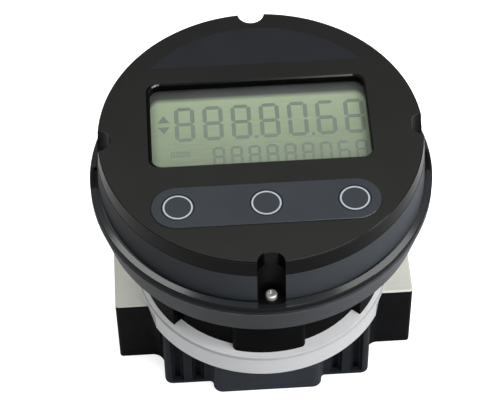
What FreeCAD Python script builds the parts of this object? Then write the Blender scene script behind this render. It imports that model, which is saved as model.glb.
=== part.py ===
"""Gear flow meter: a two-gear metering body between two threaded ports, carrying a round display head.

Millimetres, +Z up along the axis of the dial, X along the flow from the inlet (-X) to the outlet (+X),
-Y towards the reader. The origin is the centre of the underside of the meter body.
"""
import FreeCAD, Part
import math
import os

# Metering body
port_reach = 55.0           # axis of the dial to each port face
port_wall = 3.0             # round the thread, in the square blocks that hold the ports
block_corner = 1.2
shoulder_half_length = 38.3
shoulder_corner = 3.0
port_fillet = 4.5           # inside corner between a port block and the shoulder
lobe_side_wall = 5.0        # beside the gear chamber, in the lobes in front and behind
lobe_end_wall = 4.0
lobe_step = 5.1             # the lobes stand out from the shoulder's face by this
lobe_flat = 0.1             # between the round corner of a lobe and the fillet at its foot
lobe_fillet = 1.5
flute_radius = 2.2          # upright grooves that leave a rib in the shoulder's face at each bolt
rib_half_width = 1.6
foot_height = 2.2           # plain band under the grooves
top_edge_chamfer = 0.6
foot_chamfer = 0.6

# Ports: parallel pipe thread, nominal half inch
port_thread_radius = 10.4775    # root of the thread, the wall of the modelled bore
port_thread_length = 16.0
port_mouth_chamfer = 0.9
passage_radius = 5.5

# Gears and their chamber
tooth_count = 13
tooth_module = 2.0
pressure_angle = math.radians(25.0)
tooth_addendum = 1.95
tooth_dedendum = 2.4
tooth_thinning = 0.2        # taken off the thickness of every tooth, so a pair runs with play
flank_spans = 6             # spans of the curve along a tooth's flank
tip_clearance = 0.3
chamber_depth = 22.0
chamber_floor_thickness = 10.6
end_clearance = 0.2         # between a gear and the washer at each of its ends
shaft_radius = 4.0
shaft_floor_depth = 6.0
shaft_cover_depth = 3.8
shaft_end_clearance = 0.2
shaft_chamfer = 0.3
running_clearance = 0.05    # bush or washer on its shaft
bush_radius = 6.0
washer_thickness = 0.8
washer_radius = 7.6
magnet_count = 4
magnet_radius = 1.4
magnet_length = 2.5
magnet_ring_radius = 8.3

# Chamber cover, the bright disc on top of the body
cover_radius = 46.6
cover_margin = 2.1          # from the neck's wings to the edge of the cover
cover_thickness = 8.9
cover_chamfer = 0.7
cover_flat_depth = 1.5      # flats beside the port blocks, under a rim that is left round
cover_flat_angle = 16.2     # from the flow axis to the middle of a flat, degrees
cover_rim_height = 2.2
seal_margin = 0.9           # from the chamber wall to the seal groove
seal_groove_width = 2.0
seal_groove_depth = 1.5
seal_side_gap = 0.1
pickup_floor = 2.4          # cover left under the pickup
pickup_radius = 3.0
pickup_clearance = 0.05
pickup_collar_radius = 6.0
pickup_collar_height = 5.0
pickup_collar_chamfer = 0.6

# Body bolts, M5 socket heads, from below at each corner
bolt_offset = 0.35          # outwards from the middle of the shoulder's face
bolt_inset = 7.5            # behind the shoulder's face
bolt_radius = 2.5
bolt_head_radius = 4.25
bolt_head_height = 5.0
bolt_key_radius = 2.3       # corner radius of the hexagon socket
bolt_sink = 0.5             # how deep the heads lie under the foot face
bolt_grip = 6.3             # thread in the cover
bolt_hole_clearance = 0.25
head_side_clearance = 0.3

# Neck between the chamber cover and the head
neck_height = 33.3
wing_step = 3.6             # the wings of the skirt stand out by this
wing_half_angle = 41.0      # either side of the flow axis, degrees
tab_step = 2.6              # the tabs in front and behind stand out by this
tab_half_width = 12.9
tab_corner = 2.0
skirt_height = 20.0
skirt_step = 2.9            # from the skirt in to the collar above it
skirt_chamfer = 1.2
neck_wall = 3.5
neck_flange_width = 10.5    # both inner flanges
lower_flange_height = 4.0
upper_flange_height = 7.0
neck_screw_inset = 4.0      # from the bore to the screws in the flanges
neck_seal_inset = 2.7       # from the outside of the skirt to the middle of the seal
neck_seal_width = 1.6
neck_seal_depth = 1.2

# Head: a bowl below, a flanged ring and a thick front plate above
head_radius = 60.0
bowl_taper = 3.0            # from the widest edge in to the foot of the bowl
base_foot_chamfer = 0.4
base_height = 14.6
base_ridge_drop = 2.0       # from the top of the bowl to its widest edge
base_top_inset = 0.6
base_floor = 3.2
base_wall = 7.0
base_rim_overhang = 2.8
base_rim_height = 5.0
rim_slope = 2.8
parting_gap = 0.3
ring_flange = 2.3
flange_chamfer = 0.3
flange_lip_height = 0.7     # side of the flange above the shadow groove in it
flange_undercut = 0.5       # depth of that groove
foot_groove_width = 0.7     # shadow groove in the ledge at the foot of the wall
foot_groove_depth = 0.6
ledge_width = 2.8
ledge_fall = 0.7            # of the ledge, from the foot of the wall out to its edge
wall_lean = 0.6
ring_wall = 6.6             # from the widest edge in to the inside of the ring
plate_height = 6.8
plate_step = 0.1            # from the top of the wall in to the plate
plate_lean = 0.5
plate_edge_round = 0.5
plate_skin = 3.3
plate_wall_inset = 3.2
plate_lip = 3.0
plate_lip_wall = 1.6
lip_gap = 0.15
notch_radius = 4.7          # round channels that give access to the cover screws
notch_inset = 3.9           # from the widest edge in to the middle of a channel
notch_wall = 2.6
seat_depth = 0.9            # flat let into the ledge under each cover screw
seat_margin = 1.4           # of the ledge left outside the flat
seat_corner = 1.5
head_seal_inset = 0.4       # from the inside of the bowl's rim to the seal groove
head_seal_width = 1.6
head_seal_depth = 1.2

# Window and display
window_side_margin = 22.5   # from the widest edge of the head in to the window's short sides
window_back_margin = 36.0   # from the widest edge of the head in to its back
window_front_margin = 9.8   # from the keypad to its front
window_corner = 3.6
window_chamfer = 0.5
lens_margin = 2.0
lens_thickness = 1.2
lens_side_gap = 0.1
gasket_width = 1.4
gasket_thickness = 0.25
lcd_glass_margin = 1.6
lcd_thickness = 2.8
lcd_wall = 1.4
lcd_side_gap = 0.1
lcd_tray_floor = 1.0
contact_width = 1.6
contact_inset = 0.8
label_depth = 0.3
label_margin = 7.0          # from the edge of the face in to the label
label_window_gap = 7.5
label_side_gap = 0.05

# Keys
keypad_front_margin = 28.6  # from the widest edge of the head in to the middle line of the keys
keypad_side_margin = 21.3   # from the widest edge of the head in to the ends of the pad
keypad_half_width = 8.7
keypad_recess = 1.0
keypad_thickness = 1.5
keypad_side_gap = 0.1
keypad_edge_round = 0.4
key_end_margin = 9.1        # from an end of the pad in to the middle of the key beside it
key_radius = 5.4
key_gap = 0.2
key_cap_thickness = 0.8
key_edge_round = 0.2
key_travel = 0.5
key_stem_radius = 1.8
key_stem_gap = 0.3
key_stop_radius = 3.2
key_stop_thickness = 1.0
key_stop_gap = 0.2
switch_half_size = 3.0
switch_height = 3.2
switch_button_height = 0.8

# Boards and battery
board_thickness = 1.6
board_side_gap = 4.2        # from the main board out to the rim of the bowl
board_post_radius = 3.2
board_screw_inset = 4.0
board_clearance = 0.8       # from the screw heads in the floor of the bowl to the main board
display_board_drop = 7.6    # underside of the front plate's skin to the top of the display board
display_board_gap = 1.6     # from the display board out to the walls of the notches
display_post_radius = 2.6
display_post_inset = 3.2
battery_radius = 7.1
battery_clearance = 0.6     # under the display board
battery_length = 50.5
battery_contact_radius = 2.5
battery_contact_length = 1.0
battery_y = 17.0
cradle_floor = 0.8
cradle_wall = 1.5
cradle_gap = 0.2
cradle_half_width = 5.0
cradle_end_height = 9.2
link_y = -27.0
link_half_length = 12.0
link_half_width = 2.5
chip_half_size = 5.0
memory_half_depth = 3.0
chip_x = 20.0
chip_height = 1.6
pin_radius = 0.4
pin_pitch = 1.8
pin_stand = 0.8

# Small screws: shank radius, head radius, head height, thread length, clearance in a plain hole
small_screw_radius = 1.25
small_head_radius = 2.3
small_head_height = 1.5
cover_screw_inset = 5.2     # from the widest edge of the head in to the screws
cover_screw_radius = 1.25
cover_head_radius = 2.0
cover_head_height = 1.8
frame_screw_radius = 2.0
frame_head_radius = 3.5
frame_head_height = 3.0
thread_grip = 5.0
screw_end_clearance = 0.2
screw_hole_clearance = 0.2
socket_depth_share = 0.5    # depth of a head's socket, of the head's height
socket_reach_share = 0.55   # reach of a head's socket, of the head's radius
cross_arm_share = 0.3       # half width of a cross socket's arm, of its reach
head_round_share = 0.4     # rounding of a head's rim, of its height
close_fit = 0.02            # around what is screwed, pressed or bonded in place

# Gears, chamber and body
pitch_radius = tooth_module * tooth_count / 2.0
tip_radius = pitch_radius + tooth_addendum
root_radius = pitch_radius - tooth_dedendum
front_axis_y = -pitch_radius
rear_axis_y = pitch_radius
chamber_radius = tip_radius + tip_clearance
chamber_floor = chamber_floor_thickness
body_height = chamber_floor + chamber_depth
gear_bottom = chamber_floor + washer_thickness + end_clearance
gear_top = body_height - washer_thickness - end_clearance
lobe_half_length = chamber_radius + lobe_side_wall
lobe_reach = pitch_radius + chamber_radius + lobe_end_wall
lobe_corner = lobe_step - lobe_fillet - lobe_flat
shoulder_half_width = lobe_reach - lobe_step
block_half_width = port_thread_radius + port_wall
port_height = body_height / 2.0
bolt_x = (lobe_half_length + shoulder_half_length) / 2.0 + bolt_offset
bolt_y = shoulder_half_width - bolt_inset

# Chamber cover, and the neck on it
cover_top = body_height + cover_thickness
head_bottom = cover_top + neck_height
rim_bottom = cover_top - cover_rim_height
cover_flat_reach = cover_radius - cover_flat_depth
wing_radius = cover_radius - cover_margin
neck_radius = wing_radius - wing_step
tab_reach = neck_radius + tab_step
collar_radius = neck_radius - skirt_step
neck_bore_radius = collar_radius - neck_wall
neck_flange_radius = neck_bore_radius - neck_flange_width
neck_screw_ring = neck_bore_radius - neck_screw_inset
neck_seal_radius = neck_radius - neck_seal_inset

# Radii of the head, inwards from its widest edge
base_foot_radius = head_radius - bowl_taper
base_inside_radius = head_radius - base_wall
base_rim_radius = base_inside_radius - base_rim_overhang
head_seal_radius = base_rim_radius + head_seal_inset + head_seal_width / 2.0
ring_inside_radius = head_radius - ring_wall
ring_foot_radius = head_radius - ledge_width
ring_top_radius = ring_foot_radius - wall_lean
plate_seat_radius = ring_top_radius - plate_step
plate_face_radius = plate_seat_radius - plate_lean
notch_ring = head_radius - notch_inset
seat_reach = head_radius - seat_margin
cover_screw_ring = head_radius - cover_screw_inset
board_radius = base_rim_radius - board_side_gap
board_screw_ring = board_radius - board_screw_inset
display_board_radius = notch_ring - notch_radius - notch_wall - display_board_gap
display_post_ring = display_board_radius - display_post_inset

# Heights in the head, from its floor up to its face
base_top = head_bottom + base_height
ring_bottom = base_top + parting_gap
ledge_height = ring_bottom + ring_flange
seat_height = ledge_height - seat_depth
base_inside_floor = head_bottom + base_floor
board_lift = frame_head_height + board_clearance
main_board_bottom = base_inside_floor + board_lift
main_board_top = main_board_bottom + board_thickness
battery_axis = main_board_top + cradle_floor + battery_radius
display_board_bottom = battery_axis + battery_radius + battery_clearance
display_board_top = display_board_bottom + board_thickness
skin_bottom = display_board_top + display_board_drop
face_height = skin_bottom + plate_skin
plate_bottom = face_height - plate_height
lens_bottom = skin_bottom - lens_thickness
lcd_top = lens_bottom - gasket_thickness
lcd_bottom = lcd_top - lcd_thickness
key_top = face_height - keypad_recess + keypad_thickness
pickup_y = front_axis_y + magnet_ring_radius
pickup_bottom = body_height + pickup_floor
pickup_top = main_board_bottom - parting_gap

# Places on the face
keypad_y = keypad_front_margin - head_radius
keypad_half_length = head_radius - keypad_side_margin
key_pitch = keypad_half_length - key_end_margin
key_places = {"key_left": -key_pitch, "key_middle": 0.0, "key_right": key_pitch}
window_half_length = head_radius - window_side_margin
window_front = keypad_y + keypad_half_width + window_front_margin
window_back = head_radius - window_back_margin
window_middle = (window_front + window_back) / 2.0
window_half_width = (window_back - window_front) / 2.0
label_radius = plate_face_radius - label_margin
label_chord = window_back + label_window_gap

same_point = 1e-6           # closer than this, two points or heights are one

# Angles of the screw rings
square_angles = [0.0, 90.0, 180.0, 270.0]
diagonal_angles = [45.0, 135.0, 225.0, 315.0]
board_screw_angles = [20.0, 160.0, 200.0, 340.0]

# Angles of the flats, in the edge of the cover
flat_angles = [cover_flat_angle, 180.0 - cover_flat_angle, 180.0 + cover_flat_angle, -cover_flat_angle]


def point(x, y, z=0.0):
    return FreeCAD.Vector(x, y, z)


def around(radius, angles):
    """Places on a circle, as (x, y), at angles in degrees from +X."""
    return [(radius * math.cos(math.radians(a)), radius * math.sin(math.radians(a))) for a in angles]


def cylinder(radius, low, high, x=0.0, y=0.0):
    return Part.makeCylinder(radius, high - low, point(x, y, low))


def tube(inner, outer, low, high, x=0.0, y=0.0):
    return cylinder(outer, low, high, x, y).cut(cylinder(inner, low, high, x, y))


def block(x_low, x_high, y_low, y_high, low, high):
    return Part.makeBox(x_high - x_low, y_high - y_low, high - low, point(x_low, y_low, low))


def turned(profile):
    """Solid turned about Z from a closed outline of (radius, height) corners."""
    corners = [point(r, 0.0, z) for r, z in profile]
    wire = Part.makePolygon(corners + [corners[0]])
    return Part.Face(wire).revolve(point(0, 0), point(0, 0, 1), 360)


def joined(shapes):
    whole = shapes[0]
    for shape in shapes[1:]:
        whole = whole.fuse(shape)
    return whole.removeSplitter()


def rounded_outline(corners):
    """Closed wire through (x, y, radius) corners, each rounded by an arc of its radius where that isn't 0."""
    edges = []
    ends = []
    for index, (x, y, radius) in enumerate(corners):
        corner = point(x, y)
        before = point(*corners[index - 1][:2]).sub(corner).normalize()
        after = point(*corners[(index + 1) % len(corners)][:2]).sub(corner).normalize()
        half_turn = before.getAngle(after) / 2.0
        reach = radius / math.tan(half_turn)
        first = corner.add(point(before.x * reach, before.y * reach))
        last = corner.add(point(after.x * reach, after.y * reach))
        ends.append((first, last))
        if radius > 0.0:
            inward = before.add(after).normalize()
            depth = radius / math.sin(half_turn) - radius
            middle = corner.add(point(inward.x * depth, inward.y * depth))
            edges.append(Part.Arc(first, middle, last).toShape())
    for index, (first, last) in enumerate(ends):
        if ends[index - 1][1].distanceToPoint(first) > same_point:
            edges.append(Part.makeLine(ends[index - 1][1], first))
    return Part.Wire(Part.__sortEdges__(edges))


def prism(corners, low, high):
    base = Part.Face(rounded_outline(corners)).extrude(point(0, 0, high - low))
    base.translate(point(0, 0, low))
    return base


def rounded_block(half_x, half_y, radius, low, high, y=0.0):
    corners = [(-half_x, y - half_y, radius), (half_x, y - half_y, radius),
               (half_x, y + half_y, radius), (-half_x, y + half_y, radius)]
    return prism(corners, low, high)


def mirrored_outline(quarter):
    """Corners of a shape alike on both sides of X and Y, from those of its +X +Y quarter."""
    second = [(-x, y, r) for x, y, r in reversed(quarter)]
    third = [(-x, -y, r) for x, y, r in quarter]
    fourth = [(x, -y, r) for x, y, r in reversed(quarter)]
    return quarter + second + third + fourth


def hexagon(corner_radius, low, high, x=0.0, y=0.0):
    corners = [(x + a, y + b, 0.0) for a, b in around(corner_radius, [60.0 * k for k in range(6)])]
    return prism(corners, low, high)


def cross_socket(reach, low, high, x, y):
    """Cross-shaped recess of a screw head."""
    arm = reach * cross_arm_share
    return block(x - reach, x + reach, y - arm, y + arm, low, high).fuse(
        block(x - arm, x + arm, y - reach, y + reach, low, high))


def screw_down(x, y, seat, radius, head_radius, head_height, length, hexagonal=False):
    """Screw that points down, its head standing on the height seat."""
    shank = cylinder(radius, seat - length, seat, x, y)
    head = cylinder(head_radius, seat, seat + head_height, x, y)
    socket_floor = seat + head_height * (1.0 - socket_depth_share)
    socket_reach = head_radius * socket_reach_share
    rim = [e for e in head.Edges if abs(e.BoundBox.ZMin - seat - head_height) < same_point]
    head = head.makeFillet(head_height * head_round_share, rim)
    if hexagonal:
        socket = hexagon(socket_reach, socket_floor, seat + head_height, x, y)
    else:
        socket = cross_socket(socket_reach, socket_floor, seat + head_height, x, y)
    return joined([shank, head]).cut(socket)


def screw_up(x, y, seat, radius, head_radius, head_height, length):
    """Cross-head screw that points up, its head hanging under the height seat."""
    upright = screw_down(x, y, 0.0, radius, head_radius, head_height, length)
    upright.rotate(point(x, y, 0.0), point(1, 0, 0), 180)
    upright.translate(point(0, 0, seat))
    return upright


def export(name, shapes):
    whole = shapes[0] if len(shapes) == 1 else Part.makeCompound(shapes)
    whole.exportStep("parts/" + name + ".step")
    volume = sum(shape.Volume for shape in shapes)
    print(f"{name}: solids {len(shapes)}, volume {volume:.1f}")


def body_outline():
    """Plan of the meter body: port blocks along X, shoulders, and the two gear lobes along Y."""
    return mirrored_outline([
        (port_reach, block_half_width, block_corner),
        (shoulder_half_length, block_half_width, port_fillet),
        (shoulder_half_length, shoulder_half_width, shoulder_corner),
        (lobe_half_length, shoulder_half_width, lobe_fillet),
        (lobe_half_length, lobe_reach, lobe_corner),
    ])


def bolt_places():
    return [(sx * bolt_x, sy * bolt_y) for sx in (-1, 1) for sy in (-1, 1)]


def flutes():
    """Two upright grooves in the shoulder's face beside each bolt, open at the top."""
    reach = rib_half_width + flute_radius
    cuts = []
    for x, y in bolt_places():
        face_y = math.copysign(shoulder_half_width, y)
        for side in (-1, 1):
            cuts.append(cylinder(flute_radius, foot_height, body_height, x + side * reach, face_y))
    return cuts


def chamber_shape(low, high, margin=0.0):
    """Two round wells that meet between the gear axes."""
    return cylinder(chamber_radius + margin, low, high, 0.0, front_axis_y).fuse(
        cylinder(chamber_radius + margin, low, high, 0.0, rear_axis_y))


def port_bore(side):
    """Threaded bore, its drill point and the passage to the chamber, towards -X or +X."""
    deep = port_reach - port_thread_length
    cone = port_thread_radius - passage_radius
    mouth = port_thread_radius + port_mouth_chamfer
    profile = [(0.0, 0.0), (passage_radius, 0.0), (passage_radius, deep - cone), (port_thread_radius, deep),
               (port_thread_radius, port_reach - port_mouth_chamfer), (mouth, port_reach), (0.0, port_reach)]
    bore = turned(profile)
    bore.rotate(point(0, 0), point(0, 1, 0), 90 * side)
    bore.translate(point(0, 0, port_height))
    return bore


def meter_body():
    body = prism(body_outline(), 0.0, body_height)
    foot = [e for e in body.Edges if e.BoundBox.ZMax < same_point]
    body = body.makeChamfer(foot_chamfer, foot)
    top = [e for e in body.Edges if e.BoundBox.ZMin > body_height - same_point]
    body = body.makeChamfer(top_edge_chamfer, top)
    for flute in flutes():
        body = body.cut(flute)
    body = body.cut(chamber_shape(chamber_floor, body_height))
    for side in (-1, 1):
        body = body.cut(port_bore(side))
    for y in (front_axis_y, rear_axis_y):
        socket_floor = chamber_floor - shaft_floor_depth
        body = body.cut(cylinder(shaft_radius + close_fit, socket_floor, body_height, 0.0, y))
    for x, y in bolt_places():
        seat = bolt_sink + bolt_head_height
        body = body.cut(cylinder(bolt_radius + bolt_hole_clearance, 0.0, body_height, x, y))
        body = body.cut(cylinder(bolt_head_radius + head_side_clearance, 0.0, seat, x, y))
    return body


def seal_band(low, high, gap):
    """Ring that follows the chamber's outline, set in from both sides of its groove by gap."""
    outer = chamber_shape(low, high, seal_margin + seal_groove_width - gap)
    inner = chamber_shape(low, high, seal_margin + gap)
    return outer.cut(inner).removeSplitter()


def chamber_cover():
    cover = cylinder(cover_radius, body_height, cover_top)
    rim = [e for e in cover.Edges if abs(e.BoundBox.ZMin - cover_top) < same_point]
    cover = cover.makeChamfer(cover_chamfer, rim)
    for angle in flat_angles:
        flat = block(cover_flat_reach, cover_radius, -cover_radius, cover_radius, body_height, rim_bottom)
        flat.rotate(point(0, 0), point(0, 0, 1), angle)
        cover = cover.cut(flat)
    cover = cover.cut(seal_band(body_height, body_height + seal_groove_depth, 0.0))
    for y in (front_axis_y, rear_axis_y):
        socket_top = body_height + shaft_cover_depth
        cover = cover.cut(cylinder(shaft_radius + close_fit, body_height, socket_top, 0.0, y))
    for x, y in bolt_places():
        cover = cover.cut(cylinder(bolt_radius + close_fit, body_height, body_height + bolt_grip, x, y))
    cover = cover.cut(cylinder(pickup_radius + pickup_clearance, pickup_bottom, cover_top, 0.0, pickup_y))
    for x, y in around(neck_screw_ring, square_angles):
        cover = cover.cut(cylinder(frame_screw_radius + close_fit, cover_top - thread_grip, cover_top, x, y))
    cover = cover.cut(tube(neck_seal_radius - neck_seal_width / 2, neck_seal_radius + neck_seal_width / 2,
                           cover_top - neck_seal_depth, cover_top))
    return cover


def body_bolt(x, y):
    """Socket-head bolt that points up from its counterbore in the foot of the body."""
    seat = bolt_sink + bolt_head_height
    head = cylinder(bolt_head_radius, bolt_sink, seat, x, y)
    shank = cylinder(bolt_radius, seat, body_height + bolt_grip - screw_end_clearance, x, y)
    socket = hexagon(bolt_key_radius, bolt_sink, bolt_sink + bolt_head_height * socket_depth_share, x, y)
    return joined([head, shank]).cut(socket)


def involute_half_angle(radius, base_radius):
    """Half the angle that a tooth takes up at a radius, for a tooth thinned by tooth_thinning."""
    at_pitch = (math.pi / tooth_count - tooth_thinning / pitch_radius) / 2.0
    local = math.acos(min(1.0, base_radius / radius))
    return at_pitch + math.tan(pressure_angle) - pressure_angle - math.tan(local) + local


def gear_outline(phase):
    """Closed wire of an involute spur gear about the origin, its first tooth at angle phase."""
    base_radius = pitch_radius * math.cos(pressure_angle)
    steps = [(k / flank_spans) ** 2 for k in range(flank_spans + 1)]
    flank_radii = [base_radius + (tip_radius - base_radius) * step for step in steps]
    pitch = 2.0 * math.pi / tooth_count

    def at(radius, angle):
        return point(radius * math.cos(angle), radius * math.sin(angle))

    edges = []
    for tooth in range(tooth_count):
        middle = phase + tooth * pitch
        right = [at(r, middle - involute_half_angle(r, base_radius)) for r in flank_radii]
        left = [at(r, middle + involute_half_angle(r, base_radius)) for r in flank_radii]
        root_half = involute_half_angle(base_radius, base_radius)
        right_root = at(root_radius, middle - root_half)
        left_root = at(root_radius, middle + root_half)
        next_root = at(root_radius, middle + pitch - root_half)
        rising = Part.BSplineCurve()
        rising.interpolate(right)
        falling = Part.BSplineCurve()
        falling.interpolate(list(reversed(left)))
        edges.append(Part.makeLine(right_root, right[0]))
        edges.append(rising.toShape())
        edges.append(Part.Arc(right[-1], at(tip_radius, middle), left[-1]).toShape())
        edges.append(falling.toShape())
        edges.append(Part.makeLine(left[0], left_root))
        edges.append(Part.Arc(left_root, at(root_radius, middle + pitch / 2.0), next_root).toShape())
    return Part.Wire(Part.__sortEdges__(edges))


def gear(y, phase, with_magnets):
    solid = Part.Face(gear_outline(phase)).extrude(point(0, 0, gear_top - gear_bottom))
    solid.translate(point(0, y, gear_bottom))
    solid = solid.cut(cylinder(bush_radius + close_fit, gear_bottom, gear_top, 0.0, y))
    if with_magnets:
        for pocket in magnets(close_fit):
            solid = solid.cut(pocket)
    return solid


def magnets(gap):
    """Round magnets let into the upper face of the front gear, or their pockets."""
    angles = [90.0 + k * 360.0 / magnet_count for k in range(magnet_count)]
    return [cylinder(magnet_radius + gap, gear_top - magnet_length, gear_top, x, front_axis_y + y)
            for x, y in around(magnet_ring_radius, angles)]


def bush(y):
    return tube(shaft_radius + running_clearance, bush_radius, gear_bottom, gear_top, 0.0, y)


def shaft(y):
    low = chamber_floor - shaft_floor_depth + shaft_end_clearance
    high = body_height + shaft_cover_depth - shaft_end_clearance
    pin = cylinder(shaft_radius, low, high, 0.0, y)
    return pin.makeChamfer(shaft_chamfer, [e for e in pin.Edges if e.BoundBox.ZLength < same_point])


def thrust_washers():
    washers = []
    for y in (front_axis_y, rear_axis_y):
        for low in (chamber_floor, body_height - washer_thickness):
            high = low + washer_thickness
            washers.append(tube(shaft_radius + running_clearance, washer_radius, low, high, 0.0, y))
    return washers


def pickup_tube():
    """Sealed probe that stands in the cover over the ring of magnets and reaches up to the main board."""
    return cylinder(pickup_radius, pickup_bottom, pickup_top, 0.0, pickup_y)


def pickup_collar():
    """Clamp ring that holds the probe down on the chamber cover."""
    top = cover_top + pickup_collar_height
    collar = tube(pickup_radius + close_fit, pickup_collar_radius, cover_top, top, 0.0, pickup_y)
    rim = [e for e in collar.Edges if abs(e.BoundBox.ZMin - top) < same_point
           and e.BoundBox.XLength > pickup_radius + pickup_collar_radius]
    return collar.makeChamfer(pickup_collar_chamfer, rim)


def pin_places():
    return [(dx * pin_pitch, pickup_y) for dx in (-1, 0, 1)]


def pickup_pins():
    return [cylinder(pin_radius, pickup_top, main_board_top + pin_stand, x, y) for x, y in pin_places()]


def wing_sector(side, low, high):
    """Wider sector of the skirt on one side of the flow axis."""
    half = math.radians(wing_half_angle)
    disc = cylinder(wing_radius, low, high)
    reach = 2.0 * wing_radius
    tip = point(0, 0, low)
    first = point(side * reach * math.cos(half), -reach * math.sin(half), low)
    last = point(side * reach * math.cos(half), reach * math.sin(half), low)
    wedge = Part.Face(Part.makePolygon([tip, first, last, tip])).extrude(point(0, 0, high - low))
    return disc.common(wedge)


def tabs(low, high):
    """Bar across the axis whose ends, the tabs in front and behind, are round like the skirt."""
    bar = block(-tab_half_width, tab_half_width, -tab_reach, tab_reach, low, high).common(
        cylinder(tab_reach, low, high))
    return bar.makeFillet(tab_corner, [e for e in bar.Edges if e.BoundBox.ZLength > high - low - same_point])


def neck():
    skirt_top = cover_top + skirt_height
    wing_top = skirt_top - skirt_chamfer
    outside = [cylinder(neck_radius, cover_top, skirt_top),
               cylinder(collar_radius, cover_top, head_bottom),
               wing_sector(-1, cover_top, wing_top),
               wing_sector(1, cover_top, wing_top),
               tabs(cover_top, wing_top)]
    solid = joined(outside)
    solid = solid.cut(cylinder(neck_bore_radius, cover_top, head_bottom))
    lower = tube(neck_flange_radius, neck_bore_radius, cover_top, cover_top + lower_flange_height)
    upper = tube(neck_flange_radius, neck_bore_radius, head_bottom - upper_flange_height, head_bottom)
    solid = joined([solid, lower, upper])
    lower_flange_top = cover_top + lower_flange_height
    upper_flange_bottom = head_bottom - upper_flange_height
    hole_radius = frame_screw_radius + screw_hole_clearance
    access_radius = frame_head_radius + screw_hole_clearance
    for x, y in around(neck_screw_ring, square_angles):
        solid = solid.cut(cylinder(hole_radius, cover_top, lower_flange_top, x, y))
        solid = solid.cut(cylinder(access_radius, upper_flange_bottom, head_bottom, x, y))
    for x, y in around(neck_screw_ring, diagonal_angles):
        thread_bottom = head_bottom - thread_grip
        solid = solid.cut(cylinder(frame_screw_radius + close_fit, thread_bottom, head_bottom, x, y))
    return solid


def neck_seal():
    gap = seal_side_gap
    return tube(neck_seal_radius - neck_seal_width / 2 + gap, neck_seal_radius + neck_seal_width / 2 - gap,
                cover_top - neck_seal_depth, cover_top)


def frame_screws(seat, angles, plate):
    """Screws through a plate into the piece below it."""
    length = plate + thread_grip - screw_end_clearance
    size = (frame_screw_radius, frame_head_radius, frame_head_height)
    return [screw_down(x, y, seat, *size, length, True) for x, y in around(neck_screw_ring, angles)]


def head_base():
    """Bowl with a thick rim that carries the seal and the cover screws."""
    ridge = base_top - base_ridge_drop
    rim_bottom = base_top - base_rim_height
    bowl = turned([(0.0, head_bottom), (base_foot_radius - base_foot_chamfer, head_bottom),
                   (base_foot_radius, head_bottom + base_foot_chamfer), (head_radius, ridge),
                   (head_radius - base_top_inset, base_top), (base_rim_radius, base_top),
                   (base_rim_radius, rim_bottom), (base_inside_radius, rim_bottom - rim_slope),
                   (base_inside_radius, base_inside_floor), (0.0, base_inside_floor)])
    posts = [cylinder(board_post_radius, base_inside_floor, main_board_bottom, x, y)
             for x, y in around(board_screw_ring, board_screw_angles)]
    bowl = joined([bowl] + posts)
    groove_low = base_top - head_seal_depth
    bowl = bowl.cut(tube(head_seal_radius - head_seal_width / 2, head_seal_radius + head_seal_width / 2,
                         groove_low, base_top))
    through = (head_bottom, base_inside_floor)
    for x, y in around(cover_screw_ring, square_angles):
        bowl = bowl.cut(cylinder(cover_screw_radius + close_fit, base_top - thread_grip, base_top, x, y))
    for x, y in around(neck_screw_ring, diagonal_angles):
        bowl = bowl.cut(cylinder(frame_screw_radius + screw_hole_clearance, *through, x, y))
    for x, y in around(board_screw_ring, board_screw_angles):
        tapped = cylinder(small_screw_radius + close_fit, base_inside_floor, main_board_bottom, x, y)
        bowl = bowl.cut(tapped)
    bowl = bowl.cut(cylinder(pickup_radius + screw_hole_clearance, *through, 0.0, pickup_y))
    return bowl


def head_seal():
    """Seal ring that stands out of its groove and meets the flange above."""
    gap = seal_side_gap
    return tube(head_seal_radius - head_seal_width / 2 + gap, head_seal_radius + head_seal_width / 2 - gap,
                base_top - head_seal_depth, ring_bottom)


def notch_cuts(low, high):
    """Round channels open to the outside, one over each cover screw."""
    cuts = []
    for angle in square_angles:
        channel = cylinder(notch_radius, low, high, notch_ring, 0.0)
        opening = block(notch_ring, head_radius + notch_radius, -notch_radius, notch_radius, low, high)
        whole = channel.fuse(opening)
        whole.rotate(point(0, 0), point(0, 0, 1), angle)
        cuts.append(whole)
    return cuts


def screw_seats():
    """Flats with rounded corners let into the ledge, each as wide as its notch."""
    cuts = []
    for angle in square_angles:
        middle = (notch_ring + seat_reach) / 2.0
        half_x = (seat_reach - notch_ring) / 2.0 + seat_corner
        flat = rounded_block(half_x, notch_radius, seat_corner, seat_height, ledge_height)
        flat.translate(point(middle - seat_corner, 0))
        whole = flat.fuse(cylinder(notch_radius, seat_height, ledge_height, notch_ring, 0.0))
        whole = whole.common(cylinder(seat_reach, seat_height, ledge_height))
        whole.rotate(point(0, 0), point(0, 0, 1), angle)
        cuts.append(whole)
    return cuts


def notch_walls(low, high, wall):
    return [cylinder(notch_radius + wall, low, high, x, y) for x, y in around(notch_ring, square_angles)]


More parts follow.
